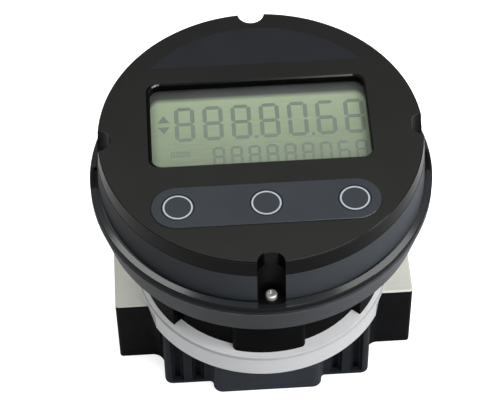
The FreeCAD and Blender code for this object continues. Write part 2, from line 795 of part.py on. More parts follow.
def cover_ring():
    """Flanged ring: the grey wall under the front plate and the ledge that the screws hold down."""
    edge_height = ledge_height - ledge_fall
    lip_bottom = edge_height - flange_lip_height
    lip_inside = head_radius - flange_undercut
    groove_floor = ledge_height - foot_groove_depth
    groove_edge = ring_foot_radius + foot_groove_width
    limit = turned([(0.0, ring_bottom), (lip_inside, ring_bottom), (lip_inside, lip_bottom),
                    (head_radius, lip_bottom), (head_radius, edge_height - flange_chamfer),
                    (head_radius - flange_chamfer, edge_height), (groove_edge, ledge_height),
                    (groove_edge, groove_floor), (ring_foot_radius, groove_floor),
                    (ring_top_radius, plate_bottom), (0.0, plate_bottom)])
    flange = tube(base_rim_radius, head_radius + notch_radius, ring_bottom, ledge_height)
    wall = tube(ring_inside_radius, head_radius, ledge_height, plate_bottom)
    ring = joined([flange, wall] + notch_walls(ring_bottom, plate_bottom, notch_wall)).common(limit)
    for cut in notch_cuts(ledge_height, plate_bottom) + screw_seats():
        ring = ring.cut(cut)
    for x, y in around(cover_screw_ring, square_angles):
        ring = ring.cut(cylinder(cover_screw_radius + screw_hole_clearance, ring_bottom, seat_height, x, y))
    return ring


def window_outline_block(margin, low, high):
    return rounded_block(window_half_length + margin, window_half_width + margin, window_corner + margin,
                         low, high, window_middle)


def label_shape(low, high, gap):
    """Segment of the face behind the window."""
    disc = cylinder(label_radius - gap, low, high)
    behind = block(-label_radius, label_radius, label_chord + gap, label_radius, low, high)
    return disc.common(behind)


def keypad_block(gap, low, high):
    half_width = keypad_half_width - gap
    return rounded_block(keypad_half_length - gap, half_width, half_width, low, high, keypad_y)


def front_plate():
    """Thick front of the head, hollow below its skin, with the window, the key holes and the notches."""
    lip_bottom = plate_bottom - plate_lip
    lip_radius = ring_inside_radius - lip_gap
    outside = turned([(0.0, plate_bottom), (plate_seat_radius, plate_bottom),
                      (plate_face_radius, face_height), (0.0, face_height)])
    edge = [e for e in outside.Edges if abs(e.BoundBox.ZMin - face_height) < same_point]
    outside = outside.makeFillet(plate_edge_round, edge)
    cavity = cylinder(plate_seat_radius - plate_wall_inset, plate_bottom, skin_bottom)
    for wall in notch_walls(plate_bottom, skin_bottom, notch_wall):
        cavity = cavity.cut(wall)
    plate = outside.cut(cavity)
    lip = tube(lip_radius - plate_lip_wall, lip_radius, lip_bottom, plate_bottom)
    lip = lip.fuse(tube(lip_radius - plate_lip_wall, plate_seat_radius - plate_wall_inset + lip_gap,
                        plate_bottom, skin_bottom))
    for wall in notch_walls(lip_bottom, plate_bottom, notch_wall + lip_gap):
        lip = lip.cut(wall)
    posts = [cylinder(display_post_radius, display_board_top, skin_bottom, x, y)
             for x, y in around(display_post_ring, square_angles)]
    plate = joined([plate, lip] + posts)
    for cut in notch_cuts(plate_bottom, face_height):
        plate = plate.cut(cut)
    plate = plate.cut(window_outline_block(0.0, skin_bottom, face_height))
    window_zone = window_outline_block(window_chamfer, skin_bottom, face_height).BoundBox
    sill = [e for e in plate.Edges if abs(e.BoundBox.ZMin - face_height) < same_point
            and window_zone.isInside(e.BoundBox)]
    plate = plate.makeChamfer(window_chamfer, sill)
    plate = plate.cut(keypad_block(0.0, face_height - keypad_recess, face_height))
    for x in key_places.values():
        plate = plate.cut(cylinder(key_stem_radius + key_stem_gap, skin_bottom, face_height, x, keypad_y))
    plate = plate.cut(label_shape(face_height - label_depth, face_height, 0.0))
    for x, y in around(display_post_ring, square_angles):
        plate = plate.cut(cylinder(small_screw_radius + close_fit, display_board_top,
                                   display_board_top + thread_grip, x, y))
    return plate


def face_label():
    return label_shape(face_height - label_depth, face_height, label_side_gap)


def window_lens():
    """Clear pane bonded under the skin of the front plate."""
    return window_outline_block(lens_margin - lens_side_gap, lens_bottom, skin_bottom)


def lens_gasket():
    outer = window_outline_block(lens_margin - lens_side_gap, lcd_top, lens_bottom)
    inner = window_outline_block(lens_margin - lens_side_gap - gasket_width, lcd_top, lens_bottom)
    return outer.cut(inner)


def lcd_panel():
    return window_outline_block(lcd_glass_margin, lcd_bottom, lcd_top)


def contact_strips(gap):
    """Places of the two rubber strips that join the glass to the board, along its long sides."""
    reach = window_half_length - window_corner
    strips = []
    for side in (-1, 1):
        inner = window_half_width + lcd_glass_margin - contact_inset - contact_width
        y = window_middle + side * (inner + contact_width / 2)
        half = contact_width / 2 + gap
        strips.append(block(-reach - gap, reach + gap, y - half, y + half, display_board_top, lcd_bottom))
    return strips


def lcd_tray():
    """Moulded tray on the display board that holds the glass and its contact strips."""
    margin = lcd_glass_margin + lcd_side_gap + lcd_wall
    tray = window_outline_block(margin, display_board_top, lcd_top)
    tray = tray.cut(window_outline_block(lcd_glass_margin + lcd_side_gap, lcd_bottom, lcd_top))
    hollow = window_outline_block(-lcd_wall - contact_width, display_board_top + lcd_tray_floor, lcd_bottom)
    tray = tray.cut(hollow)
    for strip in contact_strips(lcd_side_gap):
        tray = tray.cut(strip)
    return tray


def keypad():
    """Raised pad in its recess, with a round hole for each key."""
    low = face_height - keypad_recess
    pad = keypad_block(keypad_side_gap, low, key_top)
    rim = [e for e in pad.Edges if abs(e.BoundBox.ZMin - key_top) < same_point]
    pad = pad.makeFillet(keypad_edge_round, rim)
    for x in key_places.values():
        pad = pad.cut(cylinder(key_radius + key_gap, low, key_top, x, keypad_y))
    return pad


def key(x):
    """Round key: cap, stem through the skin, and a stop collar under it."""
    cap_bottom = key_top - key_cap_thickness
    stop_top = skin_bottom - key_stop_gap
    cap = cylinder(key_radius, cap_bottom, key_top, x, keypad_y)
    rim = [e for e in cap.Edges if abs(e.BoundBox.ZMin - key_top) < same_point]
    cap = cap.makeFillet(key_edge_round, rim)
    stem = cylinder(key_stem_radius, switch_top() + key_travel + key_stop_gap, cap_bottom, x, keypad_y)
    stop = cylinder(key_stop_radius, stop_top - key_stop_thickness, stop_top, x, keypad_y)
    return joined([cap, stem, stop])


def switch_top():
    return display_board_top + switch_height


def key_switches():
    switches = []
    for x in key_places.values():
        case_top = switch_top() - switch_button_height
        case = block(x - switch_half_size, x + switch_half_size, keypad_y - switch_half_size,
                     keypad_y + switch_half_size, display_board_top, case_top)
        button = cylinder(key_stem_radius, case_top, switch_top(), x, keypad_y)
        switches.append(joined([case, button]))
    return switches


def display_board():
    board = cylinder(display_board_radius, display_board_bottom, display_board_top)
    for x, y in around(display_post_ring, square_angles):
        board = board.cut(cylinder(small_screw_radius + screw_hole_clearance, display_board_bottom,
                                   display_board_top, x, y))
    return board


def display_screws():
    length = board_thickness + thread_grip - screw_end_clearance
    size = (small_screw_radius, small_head_radius, small_head_height)
    return [screw_up(x, y, display_board_bottom, *size, length)
            for x, y in around(display_post_ring, square_angles)]


def main_board():
    board = cylinder(board_radius, main_board_bottom, main_board_top)
    through = (main_board_bottom, main_board_top)
    for x, y in around(board_screw_ring, board_screw_angles):
        board = board.cut(cylinder(small_screw_radius + screw_hole_clearance, *through, x, y))
    for x, y in pin_places():
        board = board.cut(cylinder(pin_radius + close_fit, *through, x, y))
    return board


def board_screws():
    length = board_thickness + board_lift - screw_end_clearance
    size = (small_screw_radius, small_head_radius, small_head_height)
    return [screw_down(x, y, main_board_top, *size, length)
            for x, y in around(board_screw_ring, board_screw_angles)]


def board_link():
    """Pin connector that joins the main board to the display board."""
    return block(-link_half_length, link_half_length, link_y - link_half_width, link_y + link_half_width,
                 main_board_top, display_board_bottom)


def chips():
    """Processor and memory on the main board."""
    top = main_board_top + chip_height
    processor = block(-chip_x - chip_half_size, -chip_x + chip_half_size, -chip_half_size, chip_half_size,
                      main_board_top, top)
    memory = block(chip_x - chip_half_size, chip_x + chip_half_size, -memory_half_depth, memory_half_depth,
                   main_board_top, top)
    return [processor, memory]


def battery():
    """Round cell lying along X, with a small raised contact at one end."""
    can_length = battery_length - battery_contact_length
    low_end = -battery_length / 2.0
    can_start = point(low_end, battery_y, battery_axis)
    contact_start = point(low_end + can_length, battery_y, battery_axis)
    can = Part.makeCylinder(battery_radius, can_length, can_start, point(1, 0, 0))
    contact = Part.makeCylinder(battery_contact_radius, battery_contact_length, contact_start, point(1, 0, 0))
    return joined([can, contact])


def battery_cradle():
    """Tray under the cell with an end wall at each of its contacts."""
    inner = battery_length / 2.0 + cradle_gap
    outer = inner + cradle_wall
    front = battery_y - cradle_half_width
    back = battery_y + cradle_half_width
    floor_top = main_board_top + cradle_floor
    wall_top = floor_top + cradle_end_height
    floor = block(-outer, outer, front, back, main_board_top, floor_top)
    left_end = block(-outer, -inner, front, back, main_board_top, wall_top)
    right_end = block(inner, outer, front, back, main_board_top, wall_top)
    return joined([floor, left_end, right_end])


def cover_screws():
    length = seat_height - base_top + thread_grip - screw_end_clearance
    size = (cover_screw_radius, cover_head_radius, cover_head_height)
    return [screw_down(x, y, seat_height, *size, length) for x, y in around(cover_screw_ring, square_angles)]


os.makedirs("parts", exist_ok=True)

# Metering body and what closes it
export("meter_body", [meter_body()])
export("chamber_cover", [chamber_cover()])
export("chamber_seal", [seal_band(body_height, body_height + seal_groove_depth, seal_side_gap)])
export("body_bolts", [body_bolt(x, y) for x, y in bolt_places()])

# Gears: a tooth of the front gear points at the gap of the rear gear
export("front_gear", [gear(front_axis_y, math.pi / 2.0, True)])
export("rear_gear", [gear(rear_axis_y, -math.pi / 2.0 + math.pi / tooth_count, False)])
export("gear_magnets", magnets(0.0))
export("front_bush", [bush(front_axis_y)])
export("rear_bush", [bush(rear_axis_y)])
export("front_shaft", [shaft(front_axis_y)])
export("rear_shaft", [shaft(rear_axis_y)])
export("thrust_washers", thrust_washers())

# Pickup over the magnets
export("pickup_tube", [pickup_tube()])
export("pickup_collar", [pickup_collar()])
export("pickup_pins", pickup_pins())

# Neck
export("neck", [neck()])
export("neck_seal", [neck_seal()])
export("neck_screws", frame_screws(cover_top + lower_flange_height, square_angles, lower_flange_height))
export("head_screws", frame_screws(base_inside_floor, diagonal_angles, base_floor))

# Head casing
export("head_base", [head_base()])
export("head_seal", [head_seal()])
export("cover_ring", [cover_ring()])
export("cover_screws", cover_screws())
export("front_plate", [front_plate()])
export("face_label", [face_label()])
export("window_lens", [window_lens()])
export("lens_gasket", [lens_gasket()])

# Keys
export("keypad", [keypad()])
for key_name, key_x in key_places.items():
    export(key_name, [key(key_x)])
export("key_switches", key_switches())

# Display and electronics
export("lcd_panel", [lcd_panel()])
export("lcd_tray", [lcd_tray()])
export("lcd_contacts", contact_strips(0.0))
export("display_board", [display_board()])
export("display_screws", display_screws())
export("main_board", [main_board()])
export("board_screws", board_screws())
export("board_link", [board_link()])
export("board_chips", chips())
export("battery", [battery()])
export("battery_cradle", [battery_cradle()])
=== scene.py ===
import math

import bmesh
import bpy
from mathutils import Matrix, Vector


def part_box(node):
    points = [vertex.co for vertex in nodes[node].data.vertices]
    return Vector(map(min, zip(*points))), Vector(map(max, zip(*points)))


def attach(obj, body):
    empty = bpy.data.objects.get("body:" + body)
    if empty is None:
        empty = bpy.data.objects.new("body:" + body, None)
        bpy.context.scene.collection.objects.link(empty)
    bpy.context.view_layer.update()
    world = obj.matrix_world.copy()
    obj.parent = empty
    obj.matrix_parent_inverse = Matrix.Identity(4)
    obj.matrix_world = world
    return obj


# %% [markdown]
# This notebook dresses a small gear flow meter. Its pieces come as solids at their real size, and they stay
# exactly where they are. What is left to do here is the finish of every piece, and the few shapes that are too
# thin or too fine for the solids: the threads in the ports and the figures in the display.

# %% The solids and their box
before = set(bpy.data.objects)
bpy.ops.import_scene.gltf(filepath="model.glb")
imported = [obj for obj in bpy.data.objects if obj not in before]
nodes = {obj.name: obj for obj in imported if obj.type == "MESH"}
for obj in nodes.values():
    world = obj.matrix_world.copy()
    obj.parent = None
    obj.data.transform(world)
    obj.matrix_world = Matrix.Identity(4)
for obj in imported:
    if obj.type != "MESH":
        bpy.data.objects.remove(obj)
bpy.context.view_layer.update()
MM = 0.001


def low(node):
    """Lowest corner of a solid, in millimetres."""
    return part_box(node)[0] / MM


def high(node):
    """Highest corner of a solid, in millimetres."""
    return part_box(node)[1] / MM


# %% [markdown]
# The camera looks down on the dial from the front, a little from the left. A long lens from three quarters of a
# metre keeps the round head nearly free of perspective, as in a catalogue picture. Its direction is given as a
# turn about the upright axis, a rise above the horizon and a small roll, and its matrix is built from these.

# %% Camera
CAMERA_TURN = math.radians(2.294)
CAMERA_RISE = math.radians(51.512)
CAMERA_ROLL = math.radians(-1.330)
CAMERA_DISTANCE = 743.7
CAMERA_AIM = Vector((-7.02, 1.43, 70.91))
LENS = 154.62


def camera_axes():
    """The camera's right, up and backward directions."""
    back = Vector((-math.sin(CAMERA_TURN) * math.cos(CAMERA_RISE),
                   -math.cos(CAMERA_TURN) * math.cos(CAMERA_RISE), math.sin(CAMERA_RISE)))
    level = Vector((math.cos(CAMERA_TURN), -math.sin(CAMERA_TURN), 0.0))
    roll = Matrix.Rotation(CAMERA_ROLL, 3, back)
    return roll @ level, roll @ back.cross(level), back


def make_camera():
    right, up, back = camera_axes()
    camera = bpy.data.objects.new("camera", bpy.data.cameras.new("camera"))
    bpy.context.scene.collection.objects.link(camera)
    camera.data.lens = LENS
    camera.matrix_world = Matrix.Translation((CAMERA_AIM + back * CAMERA_DISTANCE) * MM) @ Matrix(
        (right, up, back)).transposed().to_4x4()
    bpy.context.scene.camera = camera
    return camera


print("camera at", [round(v / MM) for v in make_camera().location])

# %% [markdown]
# Shader graphs are easier to read as sums than as boxes and wires. The class Wire stands for one output of a
# node, and its operators add Math nodes, so that `1 - mask` or `height * 0.02` builds what it says. The class
# Graph makes every other node with one method: the type, then its settings, then what goes into its sockets.


# %% Shader expressions
class Wire:
    """One output of a shader node, for use in expressions."""

    def __init__(self, graph, socket):
        self.graph = graph
        self.socket = socket

    def maths(self, operation, *values):
        return self.graph.node("ShaderNodeMath", {"operation": operation}, dict(enumerate(values)))

    def __add__(self, other):
        return self.maths("ADD", self, other)

    __radd__ = __add__

    def __sub__(self, other):
        return self.maths("SUBTRACT", self, other)

    def __rsub__(self, other):
        return self.maths("SUBTRACT", other, self)

    def __mul__(self, other):
        return self.maths("MULTIPLY", self, other)

    __rmul__ = __mul__

    def __pow__(self, other):
        return self.maths("POWER", self, other)

    def __gt__(self, other):
        return self.maths("GREATER_THAN", self, other)

    def __lt__(self, other):
        return self.maths("LESS_THAN", self, other)

    def __abs__(self):
        return self.maths("ABSOLUTE", self)

    def __or__(self, other):
        return self.maths("MAXIMUM", self, other)

    def __and__(self, other):
        return self.maths("MINIMUM", self, other)

    def sine(self):
        return self.maths("SINE", self)

    def clamped(self, lowest, highest):
        """0 at the lowest value, 1 at the highest, and a straight line between."""
        return self.graph.node("ShaderNodeMapRange", {"clamp": True},
                               {"Value": self, "From Min": lowest, "From Max": highest})


class Graph:
    """A node tree that is built by expressions."""

    def __init__(self, tree):
        self.tree = tree

    def feed(self, socket, value):
        if isinstance(value, Wire):
            self.tree.links.new(value.socket, socket)
        else:
            socket.default_value = value

    def node(self, kind, settings, sockets, output=0):
        made = self.tree.nodes.new(kind)
        for name, value in settings.items():
            setattr(made, name, value)
        for name, value in sockets.items():
            self.feed(made.inputs[name], value)
        return Wire(self, made.outputs[output])


# %% [markdown]
# A finish is a Principled material. Numbers that are the same all over go straight onto the shader's sockets.
# Patterns are laid out in millimetres from the piece's own place, so a grain of 0.5 mm is 0.5 mm on every piece.

# %% What every finish can do
MIX_FACTOR, MIX_FIRST, MIX_SECOND, MIX_RESULT = 0, 6, 7, 2
TURN = 2.0 * math.pi


def colour(red, green, blue):
    """A colour of the screen, from 0 to 255, as the shader's own numbers."""
    shares = (red / 255, green / 255, blue / 255)
    return tuple(((v + 0.055) / 1.055) ** 2.4 if v > 0.04 else v / 12.92 for v in shares) + (1.0,)


class Finish(Graph):
    """One material, with the patterns that the finishes share."""

    def __init__(self, name, **uniform):
        material = bpy.data.materials.new(name)
        material.use_nodes = True
        super().__init__(material.node_tree)
        self.material = material
        self.shader = self.tree.nodes["Principled BSDF"]
        for socket, value in uniform.items():
            self.shader.inputs[socket.replace("_", " ")].default_value = value
        place = self.node("ShaderNodeTexCoord", {}, {}, "Object")
        self.place = self.scaled(place, (1 / MM, 1 / MM, 1 / MM))
        self.x, self.y, self.z = [self.node("ShaderNodeSeparateXYZ", {}, {0: self.place}, axis)
                                  for axis in range(3)]

    def set(self, **sockets):
        for socket, value in sockets.items():
            self.feed(self.shader.inputs[socket.replace("_", " ")], value)
        return self

    def scaled(self, vector, factors):
        return self.node("ShaderNodeVectorMath", {"operation": "MULTIPLY"}, {0: vector, 1: factors})

    def joined(self, x, y, z):
        return self.node("ShaderNodeCombineXYZ", {}, {0: x, 1: y, 2: z})

    def mix(self, mask, first, second):
        return self.node("ShaderNodeMix", {"data_type": "RGBA"},
                         {MIX_FACTOR: mask, MIX_FIRST: first, MIX_SECOND: second}, MIX_RESULT)

    def noise(self, size, detail=2.0, vector=None):
        """Soft blotches about size millimetres wide, from 0 to 1."""
        return self.node("ShaderNodeTexNoise", {},
                         {"Vector": vector or self.place, "Scale": 1 / size, "Detail": detail})

    def cells(self, size, vector=None):
        """Distance from the middle of cells about size millimetres wide."""
        return self.node("ShaderNodeTexVoronoi", {}, {"Vector": vector or self.place, "Scale": 1 / size})

    def bump(self, height):
        """Normal of a relief whose height is in millimetres."""
        return self.node("ShaderNodeBump", {}, {"Height": height, "Distance": MM})

    def from_axis(self, x=0.0, y=0.0):
        """Distance from an upright axis."""
        return ((self.x - x) ** 2 + (self.y - y) ** 2) ** 0.5

    def waves(self, distance, pitch):
        """Ridges that repeat along a distance, from -1 to 1."""
        return (distance * (TURN / pitch)).sine()


def dress(finish, *names):
    """Give solids a finish."""
    for name in names:
        slots = nodes[name].data.materials
        slots.clear()
        slots.append(finish.material)
    print("dressed with", finish.material.name + ":", ", ".join(names))


# %% [markdown]
# The room is a plain studio: a pale floor, a surround that is white to the camera and dim to everything else, and
# soft lamps. A dim room keeps the black pieces black, while the lamps still draw a bright line along every rounded
# edge. The two lamps high behind show in the sloping ledge to the left and to the right, but not in front.

# %% Floor, surround and lamps
AMBIENT = 0.30
MIRRORED = 0.22
FLOOR_HALF = 4.0
FLOOR_WHITE = 0.70
FLOOR_LIFT = 0.72


def make_surround():
    world = bpy.data.worlds.new("surround")
    world.use_nodes = True
    bpy.context.scene.world = world
    graph = Graph(world.node_tree)
    background = world.node_tree.nodes["Background"]
    seen = graph.node("ShaderNodeLightPath", {}, {}, "Is Camera Ray")
    mirrored = graph.node("ShaderNodeLightPath", {}, {}, "Is Glossy Ray")
    graph.feed(background.inputs["Strength"], seen * (1.0 - AMBIENT) + mirrored * (MIRRORED - AMBIENT) + AMBIENT)
    background.inputs["Color"].default_value = (1.0, 1.0, 1.0, 1.0)


def make_floor():
    mesh = bpy.data.meshes.new("floor")
    corners = [(-1, -1), (1, -1), (1, 1), (-1, 1)]
    mesh.from_pydata([(x * FLOOR_HALF, y * FLOOR_HALF, 0.0) for x, y in corners], [], [(0, 1, 2, 3)])
    floor = bpy.data.objects.new("floor", mesh)
    bpy.context.scene.collection.objects.link(floor)
    finish = Finish("floor_white", Roughness=0.9, Specular_IOR_Level=0.1, Emission_Strength=FLOOR_LIFT)
    finish.shader.inputs["Base Color"].default_value = (FLOOR_WHITE, FLOOR_WHITE, FLOOR_WHITE, 1.0)
    seen = finish.node("ShaderNodeLightPath", {}, {}, "Is Camera Ray")
    finish.set(Emission_Color=finish.mix(seen, (0.0, 0.0, 0.0, 1.0), (1.0, 1.0, 1.0, 1.0)))
    mesh.materials.append(finish.material)


def make_lamp(name, place, aim, size, power):
    """Square soft lamp; place and aim in metres."""
    lamp = bpy.data.lights.new(name, "AREA")
    lamp.shape = "RECTANGLE"
    lamp.size, lamp.size_y = size
    lamp.energy = power
    stand = bpy.data.objects.new(name, lamp)
    bpy.context.scene.collection.objects.link(stand)
    stand.location = place
    stand.rotation_euler = (Vector(aim) - Vector(place)).to_track_quat("-Z", "Y").to_euler()
    print(name, "lamp:", power, "W")


bpy.context.scene.view_settings.view_transform = "Standard"
make_surround()
make_floor()
make_lamp("back_left", (-0.41, 0.28, 1.0), (0.0, 0.0, 0.08), (0.7, 0.5), 5.2)
make_lamp("back_right", (0.41, 0.28, 1.0), (0.0, 0.0, 0.08), (0.7, 0.5), 4.6)
make_lamp("front", (0.5, -0.75, 1.0), (0.0, 0.0, 0.06), (0.9, 0.4), 10.5)
make_lamp("right", (0.95, -0.35, 0.45), (0.0, 0.0, 0.07), (0.25, 0.8), 3.6)

# %% [markdown]
# Metering body. It is a casting in black enamel. Its top face is machined after painting, and so are the ports
# and the gear chamber, so bare metal shows there. One material covers it all, because the solid is one piece:
# masks from the height and from the distances to the bores tell paint from metal.

# %% Metering body
BODY_BLACK = colour(6, 7, 9)
BODY_GREY = colour(15, 16, 19)
LOBE_REFLECTION_GREY = colour(56, 60, 67)
MACHINED = colour(210, 211, 202)
MACHINED_DARK = colour(194, 195, 186)
SHOULDER_FROM, LOBE_FROM = 25.2, 27.4
TOP_CHAMFER = 0.62
PORT_SEEN_RADIUS = 11.45
PORT_SEEN_FROM = 30.0
GEAR_AXIS_Y = 13.0
CHAMBER_SEEN_RADIUS, CHAMBER_SEEN_FROM = 15.35, 0.1
CUTTER_X, CUTTER_Y = 40.0, -160.0
CUTTER_PITCH = 0.55


def casting_paint():
    finish = Finish("black_enamel_casting", Specular_IOR_Level=0.04)
    top = high("meter_body").z
    port_height = top / 2.0
    on_top = finish.z > top - TOP_CHAMFER
    from_port_axis = (finish.y ** 2 + (finish.z - port_height) ** 2) ** 0.5
    in_port = (from_port_axis < PORT_SEEN_RADIUS) * (abs(finish.x) > PORT_SEEN_FROM)
    from_gear = ((abs(finish.y) - GEAR_AXIS_Y) ** 2 + finish.x ** 2) ** 0.5
    in_chamber = (from_gear < CHAMBER_SEEN_RADIUS) * (finish.z > CHAMBER_SEEN_FROM)
    bare = on_top | in_port | in_chamber
    blotch = finish.noise(9.0, 3.0)
    enamel = finish.mix(blotch.clamped(0.35, 0.75), BODY_BLACK, BODY_GREY)
    # Painted reflection: the fronts of the shoulders and lobes are painted greyer, standing in for the bright
    # floor seen in the glossy enamel.
    wear_and_reflection = (abs(finish.y) > SHOULDER_FROM) * 0.4 + (abs(finish.y) > LOBE_FROM) * 0.5
    paint = finish.mix(wear_and_reflection * (blotch * 0.3 + 0.75), enamel, LOBE_REFLECTION_GREY)
    cut = finish.waves(finish.from_axis(CUTTER_X, CUTTER_Y) + finish.noise(14.0) * 0.4, CUTTER_PITCH)
    metal = finish.mix(cut * 0.25 + finish.noise(3.0, 4.0) * 0.7, MACHINED_DARK, MACHINED)
    skin = finish.noise(0.9, 4.0) * 0.07 + finish.noise(4.0) * 0.12
    relief = skin * (1 - bare) + cut * bare * 0.003
    return finish.set(Base_Color=finish.mix(bare, paint, metal), Metallic=bare * 0.3,
                      Roughness=finish.noise(2.5, 3.0) * 0.16 + 0.34, Normal=finish.bump(relief))


dress(casting_paint(), "meter_body")

# %% [markdown]
# Chamber cover. It is a disc of bright aluminium, turned on a lathe, so fine rings run round its edge and its
# face. The rings are waves along the distance from the axis plus the height, which makes one pattern serve both.
# The edge is painted a little darker than the face, as painted shade, and its chamfer darker still.
# The milled flats beside the port blocks are painted darkest, also painted shade: they lie inside the disc's
# radius.

# %% Chamber cover
DISC_BRIGHT = colour(254, 254, 255)
DISC_DULL = colour(242, 244, 246)
FACE_SKIN, DISC_CHAMFER = 0.05, 0.7
DISC_RIM, DISC_ROUND = 2.2, 46.45
SIDE_SHADE, CHAMFER_SHADE, FLAT_SHADE = 0.6, 0.42, 0.4
TURNING_PITCH = 0.32


def turned_metal(name, bright, dull, roughness, pitch, axis=(0.0, 0.0), metallic=1.0):
    """Metal from a lathe, with fine rings about an upright axis."""
    finish = Finish(name, Metallic=metallic)
    along = finish.from_axis(*axis) + finish.z
    bands = finish.noise(1.0, 5.0, finish.joined(along * 1.6, finish.z * 0.9, 0.0))
    smear = finish.noise(6.0, 3.0, finish.scaled(finish.place, (1.0, 1.0, 3.0)))
    tone = bands * 0.65 + smear * 0.45
    relief = finish.waves(along + bands * 0.2, pitch) * 0.002 + bands * 0.006
    finish.skin = finish.mix(tone.clamped(0.3, 0.8), dull, bright)
    return finish.set(Base_Color=finish.skin, Roughness=bands * 0.14 + roughness, Normal=finish.bump(relief))


def bright_disc():
    """Turned aluminium, with painted shade on its edge, its chamfer and its flats."""
    finish = turned_metal("turned_aluminium", DISC_BRIGHT, DISC_DULL, 0.40, TURNING_PITCH, metallic=0.1)
    depth = high("chamber_cover").z - finish.z
    # Painted shade: the edge, its chamfer and the flats are the turned metal darkened by these shares.
    side = finish.scaled(finish.skin, (SIDE_SHADE,) * 3)
    chamfer = finish.scaled(finish.skin, (CHAMFER_SHADE,) * 3)
    flat = finish.scaled(finish.skin, (FLAT_SHADE,) * 3)
    in_flat = (finish.from_axis() < DISC_ROUND) * (depth > DISC_RIM)
    shaded_below_face = finish.mix(depth > DISC_CHAMFER, chamfer, finish.mix(in_flat, side, flat))
    return finish.set(Base_Color=finish.mix(depth > FACE_SKIN, finish.skin, shaded_below_face))


dress(bright_disc(), "chamber_cover")

# %% [markdown]
# Painted and moulded black pieces. They differ in how dark and how smooth they are, but all have a fine grain
# and a slow drift of tone, so one function makes them. The grain is the Voronoi pattern of a moulded or
# powder-coated skin, and the drift keeps large surfaces from looking flat. The head's paint is painted lighter
# towards its right, as painted light from that side.


# %% Neck, head casing
def grained(name, dark, pale, roughness, grain_size, grain_height, specular=0.35, drift=16.0):
    """Satin surface with a fine grain and a slow drift of tone."""
    finish = Finish(name, Specular_IOR_Level=specular)
    slow = finish.noise(drift, 3.0)
    grain = finish.cells(grain_size)
    fine = finish.noise(grain_size * 0.6, 3.0)
    finish.skin = finish.mix((slow * 0.7 + fine * 0.3).clamped(0.3, 0.7), dark, pale)
    return finish.set(Base_Color=finish.skin, Roughness=slow * 0.10 + fine * 0.08 + roughness,
                      Normal=finish.bump(grain * grain_height + fine * grain_height))


NECK_DARK, NECK_PALE = colour(4, 4, 5), colour(8, 8, 9)
HEAD_DARK, HEAD_PALE = colour(22, 25, 29), colour(28, 31, 35)
RING_DARK, RING_PALE = colour(19, 22, 26), colour(24, 27, 31)
RIGHT_LIGHT_GREY = colour(62, 67, 73)
BOWL_LIT_FROM, RING_LIT_FROM, LIT_TO = -5.0, -55.0, 62.0
SHADE_BLACK = colour(5, 5, 6)
NOTCH_RING, NOTCH_RADIUS = 56.1, 4.76
LEDGE_HEIGHT, LEDGE_EDGE = 92.05, 91.2
RIDGE_HEIGHT, RIDGE_HALF_WIDTH, RIDGE_HIGHLIGHT = 87.4, 0.35, colour(92, 95, 100)
SHADED_LIP_FROM = 88.5


def bowl_paint():
    """Charcoal paint with a painted highlight along the ridge of the bowl, painted light towards the right, and
    painted shadow in black on its lip.
    """
    finish = grained("satin_grey_bowl", HEAD_DARK, HEAD_PALE, 0.36, 0.45, 0.008, 0.16)
    off_ridge = abs(finish.z - RIDGE_HEIGHT) * (1 / RIDGE_HALF_WIDTH)
    # Painted highlight: a pale line along the ridge of the bowl.
    ridge_highlight = (1 - off_ridge.clamped(0.3, 1.0)) * (finish.from_axis() > NOTCH_RING) * finish.noise(3.0) * 0.8
    # Painted light: the paint turns paler towards the right, where the light falls from.
    lit_right = finish.mix(finish.x.clamped(BOWL_LIT_FROM, LIT_TO), finish.skin, RIGHT_LIGHT_GREY)
    side = finish.mix(ridge_highlight, lit_right, RIDGE_HIGHLIGHT)
    # Painted shadow: black on the bowl's lip, under the ledge of the ring.
    return finish.set(Base_Color=finish.mix(finish.z > SHADED_LIP_FROM, side, SHADE_BLACK))


def ring_paint():
    """Paint with a glossy coat on the sloping ledge, with painted shade in black in the screw channels and under
    the ledge.
    """
    finish = grained("gloss_grey_ring", RING_DARK, RING_PALE, 0.45, 0.45, 0.004, 0.15)
    finish.shader.inputs["Coat Roughness"].default_value = 0.16
    along = abs(finish.x) | abs(finish.y)
    across = abs(finish.x) & abs(finish.y)
    behind = (NOTCH_RING - along) | 0.0
    in_notch = (behind ** 2 + across ** 2) ** 0.5 < NOTCH_RADIUS
    under_ledge = finish.z < LEDGE_EDGE
    on_ledge = (finish.z < LEDGE_HEIGHT) - under_ledge
    # Painted light: the paint turns paler towards the right, where the light falls from.
    lit_right = finish.mix(finish.x.clamped(RING_LIT_FROM, LIT_TO) * (1 - on_ledge), finish.skin, RIGHT_LIGHT_GREY)
    # Painted shade: black in the screw channels and under the ledge.
    return finish.set(Base_Color=finish.mix(in_notch | under_ledge, lit_right, SHADE_BLACK),
                      Coat_Weight=on_ledge * (1 - in_notch))


dress(grained("satin_black_neck", NECK_DARK, NECK_PALE, 0.40, 0.5, 0.006, 0.02), "neck")
dress(bowl_paint(), "head_base")
dress(ring_paint(), "cover_ring")

# %% [markdown]
# Front plate. Its face carries a matt print of a warm dark grey, partly painted light: the face is painted
# lighter than its round edge, the notches and the walls of the window, which stay black, and lighter towards
# the front. A mask from the height finds the face. Around the window a band of painted shade, widest on its
# left, replaces the print. The rims just below the face were polished, so they have a clear coat that catches
# the lamps as a fine line, brightest in the corners of the window.

# %% Front plate
LIT_FACE_PRINT, LIT_FACE_PRINT_PALE = colour(23, 24, 23), colour(36, 37, 34)
EDGE_BLACK, EDGE_PALE = colour(3, 3, 3), colour(6, 6, 6)
FACE_DEPTH, RIM_DEPTH = 0.04, 0.52
FACE_REACH = 50.0
WINDOW_FRONT, WINDOW_BACK, WINDOW_HALF, WINDOW_CORNER = -12.9, 24.0, 37.5, 3.6
SHADE_SHIFT, SHADE_SIDE, SHADE_FRONT = 0.4, 0.9, 0.4


